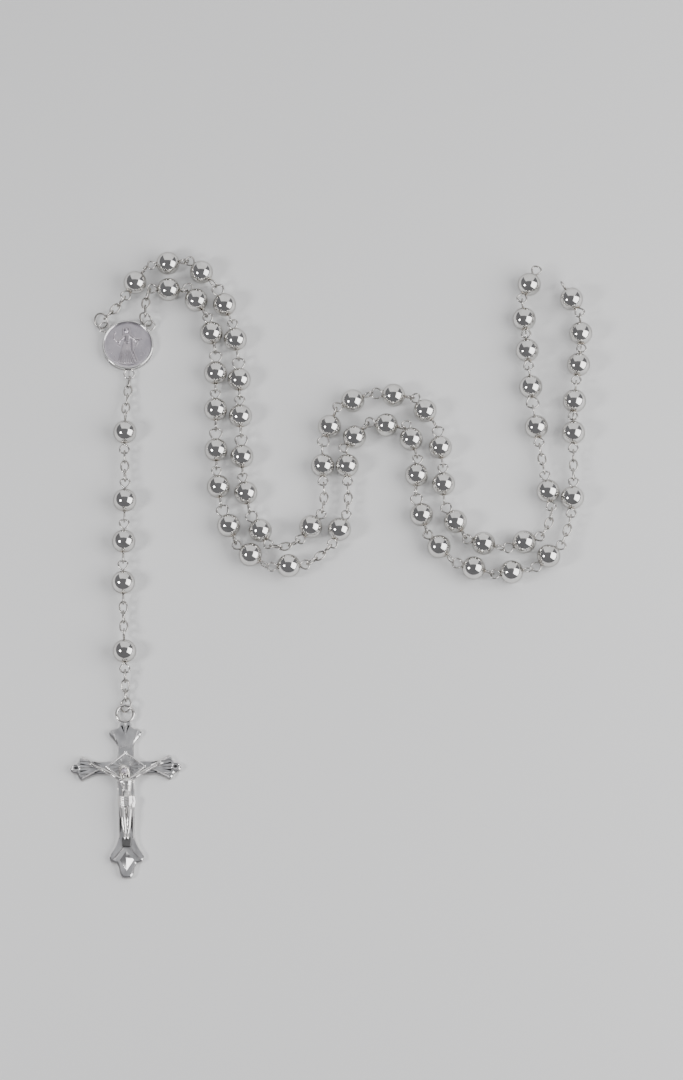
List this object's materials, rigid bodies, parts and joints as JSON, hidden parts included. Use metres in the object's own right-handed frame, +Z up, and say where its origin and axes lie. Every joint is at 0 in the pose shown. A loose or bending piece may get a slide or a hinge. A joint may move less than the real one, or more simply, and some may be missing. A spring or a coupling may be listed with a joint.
{
  "type": "rosary",
  "caption": "Rosary of round metal beads on wire eyes and short link chains, with a round medal where the loop meets a pendant that ends in a crucifix.",
  "frame": {"origin": "middle of the centre medal's flat back, on the table that the rosary lies on", "axes": "+Z up from the table, -Y along the pendant to the crucifix, +X towards the far end of the loop"},
  "size_m": [0.134, 0.1683, 0.006],
  "materials": {
    "bright_metal": "polished silver colour, slightly tarnished in the recesses",
    "medal_metal": "satin field with a polished rim",
    "crucifix_metal": "frosted faces with polished bevels"
  },
  "bodies": {
    "centre_medal": {"centre_medal": "medal_metal"},
    "crucifix": {"crucifix": "crucifix_metal"},
    "crucifix_ring": {"crucifix_ring": "bright_metal"},
    "decade_1_beads_1_2": {"decade_1_beads_1_2": "bright_metal"},
    "decade_1_beads_3_4": {"decade_1_beads_3_4": "bright_metal"},
    "decade_1_beads_5_6": {"decade_1_beads_5_6": "bright_metal"},
    "decade_1_beads_7_8": {"decade_1_beads_7_8": "bright_metal"},
    "decade_1_beads_9_10": {"decade_1_beads_9_10": "bright_metal"},
    "decade_2_beads_1_2": {"decade_2_beads_1_2": "bright_metal"},
    "decade_2_beads_3_4": {"decade_2_beads_3_4": "bright_metal"},
    "decade_2_beads_5_6": {"decade_2_beads_5_6": "bright_metal"},
    "decade_2_beads_7_8": {"decade_2_beads_7_8": "bright_metal"},
    "decade_2_beads_9_10": {"decade_2_beads_9_10": "bright_metal"},
    "decade_3_bead_5": {"decade_3_bead_5": "bright_metal"},
    "decade_3_bead_6": {"decade_3_bead_6": "bright_metal"},
    "decade_3_beads_1_2": {"decade_3_beads_1_2": "bright_metal"},
    "decade_3_beads_3_4": {"decade_3_beads_3_4": "bright_metal"},
    "decade_3_beads_7_8": {"decade_3_beads_7_8": "bright_metal"},
    "decade_3_beads_9_10": {"decade_3_beads_9_10": "bright_metal"},
    "decade_4_beads_1_2": {"decade_4_beads_1_2": "bright_metal"},
    "decade_4_beads_3_4": {"decade_4_beads_3_4": "bright_metal"},
    "decade_4_beads_5_6": {"decade_4_beads_5_6": "bright_metal"},
    "decade_4_beads_7_8": {"decade_4_beads_7_8": "bright_metal"},
    "decade_4_beads_9_10": {"decade_4_beads_9_10": "bright_metal"},
    "decade_5_beads_1_2": {"decade_5_beads_1_2": "bright_metal"},
    "decade_5_beads_3_4": {"decade_5_beads_3_4": "bright_metal"},
    "decade_5_beads_5_6": {"decade_5_beads_5_6": "bright_metal"},
    "decade_5_beads_7_8": {"decade_5_beads_7_8": "bright_metal"},
    "decade_5_beads_9_10": {"decade_5_beads_9_10": "bright_metal"},
    "left_chain_1": {"left_chain_1": "bright_metal"},
    "left_chain_2": {"left_chain_2": "bright_metal"},
    "left_chain_3": {"left_chain_3": "bright_metal"},
    "left_chain_4": {"left_chain_4": "bright_metal"},
    "left_chain_5": {"left_chain_5": "bright_metal"},
    "left_jump_ring": {"left_jump_ring": "bright_metal"},
    "left_our_father_1": {"left_our_father_1": "bright_metal"},
    "left_our_father_2": {"left_our_father_2": "bright_metal"},
    "pendant_bead_1": {"pendant_bead_1": "bright_metal"},
    "pendant_bead_2": {"pendant_bead_2": "bright_metal"},
    "pendant_bead_3": {"pendant_bead_3": "bright_metal"},
    "pendant_bead_4": {"pendant_bead_4": "bright_metal"},
    "pendant_bead_5": {"pendant_bead_5": "bright_metal"},
    "pendant_chain_1": {"pendant_chain_1": "bright_metal"},
    "pendant_chain_2": {"pendant_chain_2": "bright_metal"},
    "pendant_chain_3": {"pendant_chain_3": "bright_metal"},
    "pendant_chain_4": {"pendant_chain_4": "bright_metal"},
    "pendant_pin_1": {"pendant_pin_1": "bright_metal"},
    "pendant_pin_2": {"pendant_pin_2": "bright_metal"},
    "pendant_pin_3": {"pendant_pin_3": "bright_metal"},
    "pendant_pin_4": {"pendant_pin_4": "bright_metal"},
    "pendant_pin_5": {"pendant_pin_5": "bright_metal"},
    "right_chain_1": {"right_chain_1": "bright_metal"},
    "right_chain_2": {"right_chain_2": "bright_metal"},
    "right_chain_3": {"right_chain_3": "bright_metal"},
    "right_chain_4": {"right_chain_4": "bright_metal"},
    "right_chain_5": {"right_chain_5": "bright_metal"},
    "right_jump_ring": {"right_jump_ring": "bright_metal"},
    "right_our_father_1": {"right_our_father_1": "bright_metal"},
    "right_our_father_2": {"right_our_father_2": "bright_metal"}
  },
  "joints": [
    {"name": "crucifix_swing", "type": "hinge", "parent": "crucifix_ring", "child": "crucifix", "pos_m": [-0.00005, -0.09779, 0.00135], "axis": [-1, 0, 0], "range_deg": [-75, 75]},
    {"name": "crucifix_ring_swing", "type": "hinge", "parent": "pendant_chain_4", "child": "crucifix_ring", "pos_m": [0.00013, -0.09581, 0.00154], "axis": [1, 0, 0], "range_deg": [-75, 75]},
    {"name": "pendant_chain_1_lift", "type": "hinge", "parent": "centre_medal", "child": "pendant_chain_1", "pos_m": [0.00046, -0.00928, 0.0012], "axis": [-0.9969, 0.0781, 0], "range_deg": [-75, 75]},
    {"name": "pendant_bead_1_spin", "type": "hinge", "parent": "pendant_pin_1", "child": "pendant_bead_1", "pos_m": [-0.00057, -0.02429, 0.003], "axis": [-0.016, -0.9999, 0], "continuous": true},
    {"name": "left_jump_ring_swing", "type": "hinge", "parent": "centre_medal", "child": "left_jump_ring", "pos_m": [-0.00723, 0.00585, 0.0012], "axis": [0.6293, 0.7771, 0], "range_deg": [-40, 12]},
    {"name": "right_jump_ring_swing", "type": "hinge", "parent": "centre_medal", "child": "right_jump_ring", "pos_m": [0.00669, 0.00646, 0.0012], "axis": [-0.6947, 0.7193, 0], "range_deg": [-40, 40]},
    {"name": "left_chain_1_lift", "type": "hinge", "parent": "left_jump_ring", "child": "left_chain_1", "pos_m": [-0.00567, 0.00717, 0.00279], "axis": [-0.6779, 0.7351, 0], "range_deg": [-75, 75]},
    {"name": "right_chain_1_lift", "type": "hinge", "parent": "right_jump_ring", "child": "right_chain_1", "pos_m": [0.00451, 0.00788, 0.00354], "axis": [1, 0.0072, 0], "range_deg": [-75, 75]},
    {"name": "decade_1_beads_1_2_lift", "type": "hinge", "parent": "left_chain_1", "child": "decade_1_beads_1_2", "pos_m": [-0.00129, 0.01194, 0.003], "axis": [0.8361, -0.5485, 0], "range_deg": [-75, 75]},
    {"name": "decade_5_beads_9_10_lift", "type": "hinge", "parent": "right_chain_1", "child": "decade_5_beads_9_10", "pos_m": [0.00529, 0.01399, 0.003], "axis": [-0.8601, 0.5102, 0], "range_deg": [-75, 75]},
    {"name": "pendant_pin_1_lift", "type": "hinge", "parent": "pendant_chain_1", "child": "pendant_pin_1", "pos_m": [-0.0005, -0.01936, 0.00275], "axis": [0.9999, -0.016, 0], "range_deg": [-75, 75]},
    {"name": "pendant_chain_2_lift", "type": "hinge", "parent": "pendant_pin_1", "child": "pendant_chain_2", "pos_m": [-0.00062, -0.03029, 0.003], "axis": [-0.9995, -0.0306, 0], "range_deg": [-75, 75]},
    {"name": "pendant_pin_2_lift", "type": "hinge", "parent": "pendant_chain_2", "child": "pendant_pin_2", "pos_m": [-0.00045, -0.03679, 0.003], "axis": [0.9998, 0.0199, 0], "range_deg": [-75, 75]},
    {"name": "pendant_pin_3_lift", "type": "hinge", "parent": "pendant_pin_2", "child": "pendant_pin_3", "pos_m": [-0.00056, -0.04789, 0.003], "axis": [-0.9999, 0.0127, 0], "range_deg": [-75, 75]},
    {"name": "pendant_pin_4_lift", "type": "hinge", "parent": "pendant_pin_3", "child": "pendant_pin_4", "pos_m": [-0.00078, -0.05899, 0.003], "axis": [0.9998, -0.0206, 0], "range_deg": [-75, 75]},
    {"name": "pendant_chain_3_lift", "type": "hinge", "parent": "pendant_pin_4", "child": "pendant_chain_3", "pos_m": [-0.00067, -0.06997, 0.00284], "axis": [-0.9999, -0.0125, 0], "range_deg": [-75, 75]},
    {"name": "pendant_pin_5_lift", "type": "hinge", "parent": "pendant_chain_3", "child": "pendant_pin_5", "pos_m": [-0.00046, -0.0785, 0.00284], "axis": [0.9995, 0.0326, 0], "range_deg": [-75, 75]},
    {"name": "pendant_chain_4_lift", "type": "hinge", "parent": "pendant_pin_5", "child": "pendant_chain_4", "pos_m": [-0.0001, -0.08947, 0.003], "axis": [-0.9995, -0.0327, 0], "range_deg": [-75, 75]},
    {"name": "decade_1_beads_3_4_lift", "type": "hinge", "parent": "decade_1_beads_1_2", "child": "decade_1_beads_3_4", "pos_m": [0.01461, 0.02242, 0.003], "axis": [-0.1179, 0.993, 0], "range_deg": [-75, 75]},
    {"name": "decade_1_beads_5_6_lift", "type": "hinge", "parent": "decade_1_beads_3_4", "child": "decade_1_beads_5_6", "pos_m": [0.02666, 0.00646, 0.003], "axis": [-0.9253, -0.3792, 0], "range_deg": [-75, 75]},
    {"name": "decade_1_beads_7_8_lift", "type": "hinge", "parent": "decade_1_beads_5_6", "child": "decade_1_beads_7_8", "pos_m": [0.029, -0.01432, 0.003], "axis": [0.9995, 0.032, 0], "range_deg": [-75, 75]},
    {"name": "decade_1_beads_9_10_lift", "type": "hinge", "parent": "decade_1_beads_7_8", "child": "decade_1_beads_9_10", "pos_m": [0.0298, -0.0353, 0.003], "axis": [-0.9993, -0.0382, 0], "range_deg": [-75, 75]},
    {"name": "left_chain_2_lift", "type": "hinge", "parent": "decade_1_beads_9_10", "child": "left_chain_2", "pos_m": [0.03774, -0.05528, 0.003], "axis": [0.2874, 0.9578, 0], "range_deg": [-75, 75]},
    {"name": "left_our_father_1_lift", "type": "hinge", "parent": "left_chain_2", "child": "left_our_father_1", "pos_m": [0.04372, -0.05418, 0.003], "axis": [0.5569, -0.8306, 0], "range_deg": [-75, 75]},
    {"name": "left_chain_3_lift", "type": "hinge", "parent": "left_our_father_1", "child": "left_chain_3", "pos_m": [0.05049, -0.04538, 0.003], "axis": [-0.9697, 0.2444, 0], "range_deg": [-75, 75]},
    {"name": "decade_2_beads_1_2_lift", "type": "hinge", "parent": "left_chain_3", "child": "decade_2_beads_1_2", "pos_m": [0.05073, -0.03897, 0.003], "axis": [0.9881, 0.154, 0], "range_deg": [-75, 75]},
    {"name": "decade_2_beads_3_4_lift", "type": "hinge", "parent": "decade_2_beads_1_2", "child": "decade_2_beads_3_4", "pos_m": [0.05375, -0.01865, 0.003], "axis": [-0.9356, 0.3531, 0], "range_deg": [-75, 75]},
    {"name": "decade_2_beads_5_6_lift", "type": "hinge", "parent": "decade_2_beads_3_4", "child": "decade_2_beads_5_6", "pos_m": [0.07309, -0.0148, 0.003], "axis": [-0.1213, -0.9926, 0], "range_deg": [-75, 75]},
    {"name": "decade_2_beads_7_8_lift", "type": "hinge", "parent": "decade_2_beads_5_6", "child": "decade_2_beads_7_8", "pos_m": [0.08131, -0.03281, 0.003], "axis": [0.9926, 0.1212, 0], "range_deg": [-75, 75]},
    {"name": "decade_2_beads_9_10_lift", "type": "hinge", "parent": "decade_2_beads_7_8", "child": "decade_2_beads_9_10", "pos_m": [0.08692, -0.05228, 0.003], "axis": [-0.8473, -0.5311, 0], "range_deg": [-75, 75]},
    {"name": "left_chain_4_lift", "type": "hinge", "parent": "decade_2_beads_9_10", "child": "left_chain_4", "pos_m": [0.10726, -0.05174, 0.003], "axis": [-0.7612, 0.6485, 0], "range_deg": [-75, 75]},
    {"name": "left_our_father_2_lift", "type": "hinge", "parent": "left_chain_4", "child": "left_our_father_2", "pos_m": [0.10937, -0.04586, 0.003], "axis": [1, 0.0034, 0], "range_deg": [-75, 75]},
    {"name": "left_chain_5_lift", "type": "hinge", "parent": "left_our_father_2", "child": "left_chain_5", "pos_m": [0.10752, -0.03482, 0.003], "axis": [-0.9859, -0.1675, 0], "range_deg": [-75, 75]},
    {"name": "decade_3_beads_1_2_lift", "type": "hinge", "parent": "left_chain_5", "child": "decade_3_beads_1_2", "pos_m": [0.10647, -0.0284, 0.003], "axis": [0.9879, 0.1551, 0], "range_deg": [-75, 75]},
    {"name": "decade_3_beads_3_4_lift", "type": "hinge", "parent": "decade_3_beads_1_2", "child": "decade_3_beads_3_4", "pos_m": [0.10382, -0.00758, 0.003], "axis": [-0.9956, -0.0939, 0], "range_deg": [-75, 75]},
    {"name": "decade_3_bead_5_lift", "type": "hinge", "parent": "decade_3_beads_3_4", "child": "decade_3_bead_5", "pos_m": [0.10218, 0.01094, 0.003], "axis": [0.9947, 0.1028, 0], "range_deg": [-75, 75]},
    {"name": "decade_5_beads_7_8_lift", "type": "hinge", "parent": "decade_5_beads_9_10", "child": "decade_5_beads_7_8", "pos_m": [0.02004, 0.00807, 0.003], "axis": [-0.8416, -0.54, 0], "range_deg": [-75, 75]},
    {"name": "decade_5_beads_5_6_lift", "type": "hinge", "parent": "decade_5_beads_7_8", "child": "decade_5_beads_5_6", "pos_m": [0.02273, -0.01252, 0.003], "axis": [1, -0.0054, 0], "range_deg": [-75, 75]},
    {"name": "decade_5_beads_3_4_lift", "type": "hinge", "parent": "decade_5_beads_5_6", "child": "decade_5_beads_3_4", "pos_m": [0.02306, -0.03352, 0.003], "axis": [-0.9999, -0.0154, 0], "range_deg": [-75, 75]},
    {"name": "decade_5_beads_1_2_lift", "type": "hinge", "parent": "decade_5_beads_3_4", "child": "decade_5_beads_1_2", "pos_m": [0.02792, -0.05375, 0.003], "axis": [0.9311, 0.3648, 0], "range_deg": [-75, 75]},
    {"name": "right_chain_2_lift", "type": "hinge", "parent": "decade_5_beads_1_2", "child": "right_chain_2", "pos_m": [0.04721, -0.05966, 0.003], "axis": [0.5279, -0.8493, 0], "range_deg": [-75, 75]},
    {"name": "right_our_father_1_lift", "type": "hinge", "parent": "right_chain_2", "child": "right_our_father_1", "pos_m": [0.05219, -0.05558, 0.003], "axis": [-0.7233, 0.6905, 0], "range_deg": [-75, 75]},
    {"name": "right_chain_3_lift", "type": "hinge", "parent": "right_our_father_1", "child": "right_chain_3", "pos_m": [0.05684, -0.04547, 0.003], "axis": [0.988, -0.1542, 0], "range_deg": [-75, 75]},
    {"name": "decade_4_beads_9_10_lift", "type": "hinge", "parent": "right_chain_3", "child": "decade_4_beads_9_10", "pos_m": [0.057, -0.039, 0.003], "axis": [-0.9958, -0.0918, 0], "range_deg": [-75, 75]},
    {"name": "decade_4_beads_7_8_lift", "type": "hinge", "parent": "decade_4_beads_9_10", "child": "decade_4_beads_7_8", "pos_m": [0.06167, -0.02251, 0.003], "axis": [0.7202, -0.6938, 0], "range_deg": [-75, 75]},
    {"name": "decade_4_beads_5_6_lift", "type": "hinge", "parent": "decade_4_beads_7_8", "child": "decade_4_beads_5_6", "pos_m": [0.07458, -0.03038, 0.003], "axis": [0.955, 0.2967, 0], "range_deg": [-75, 75]},
    {"name": "decade_4_beads_3_4_lift", "type": "hinge", "parent": "decade_4_beads_5_6", "child": "decade_4_beads_3_4", "pos_m": [0.07713, -0.05091, 0.003], "axis": [-0.9593, -0.2823, 0], "range_deg": [-75, 75]},
    {"name": "decade_4_beads_1_2_lift", "type": "hinge", "parent": "decade_4_beads_3_4", "child": "decade_4_beads_1_2", "pos_m": [0.09345, -0.06242, 0.003], "axis": [0.2904, 0.9569, 0], "range_deg": [-75, 75]},
    {"name": "right_chain_4_lift", "type": "hinge", "parent": "decade_4_beads_1_2", "child": "right_chain_4", "pos_m": [0.11234, -0.05386, 0.003], "axis": [0.9244, -0.3814, 0], "range_deg": [-75, 75]},
    {"name": "right_our_father_2_lift", "type": "hinge", "parent": "right_chain_4", "child": "right_our_father_2", "pos_m": [0.11422, -0.04767, 0.003], "axis": [-0.9817, 0.1905, 0], "range_deg": [-75, 75]},
    {"name": "right_chain_5_lift", "type": "hinge", "parent": "right_our_father_2", "child": "right_chain_5", "pos_m": [0.11511, -0.03652, 0.003], "axis": [1, -0.0089, 0], "range_deg": [-75, 75]},
    {"name": "decade_3_beads_9_10_lift", "type": "hinge", "parent": "right_chain_5", "child": "decade_3_beads_9_10", "pos_m": [0.1151, -0.03001, 0.003], "axis": [-1, -0.0094, 0], "range_deg": [-75, 75]},
    {"name": "decade_3_beads_7_8_lift", "type": "hinge", "parent": "decade_3_beads_9_10", "child": "decade_3_beads_7_8", "pos_m": [0.11587, -0.01144, 0.003], "axis": [0.9956, -0.0937, 0], "range_deg": [-75, 75]},
    {"name": "decade_3_bead_6_lift", "type": "hinge", "parent": "decade_3_beads_7_8", "child": "decade_3_bead_6", "pos_m": [0.1171, 0.00705, 0.003], "axis": [-0.9994, -0.0344, 0], "range_deg": [-75, 75]},
    {"name": "pendant_bead_2_spin", "type": "hinge", "parent": "pendant_pin_2", "child": "pendant_bead_2", "pos_m": [-0.00049, -0.04279, 0.003], "axis": [-0.0127, -0.9999, 0], "continuous": true},
    {"name": "pendant_bead_3_spin", "type": "hinge", "parent": "pendant_pin_3", "child": "pendant_bead_3", "pos_m": [-0.00068, -0.05389, 0.003], "axis": [-0.0206, -0.9998, 0], "continuous": true},
    {"name": "pendant_bead_4_spin", "type": "hinge", "parent": "pendant_pin_4", "child": "pendant_bead_4", "pos_m": [-0.00073, -0.06499, 0.003], "axis": [0.0125, -0.9999, 0], "continuous": true},
    {"name": "pendant_bead_5_spin", "type": "hinge", "parent": "pendant_pin_5", "child": "pendant_bead_5", "pos_m": [-0.00029, -0.08347, 0.003], "axis": [0.0326, -0.9995, 0], "continuous": true}
  ]
}
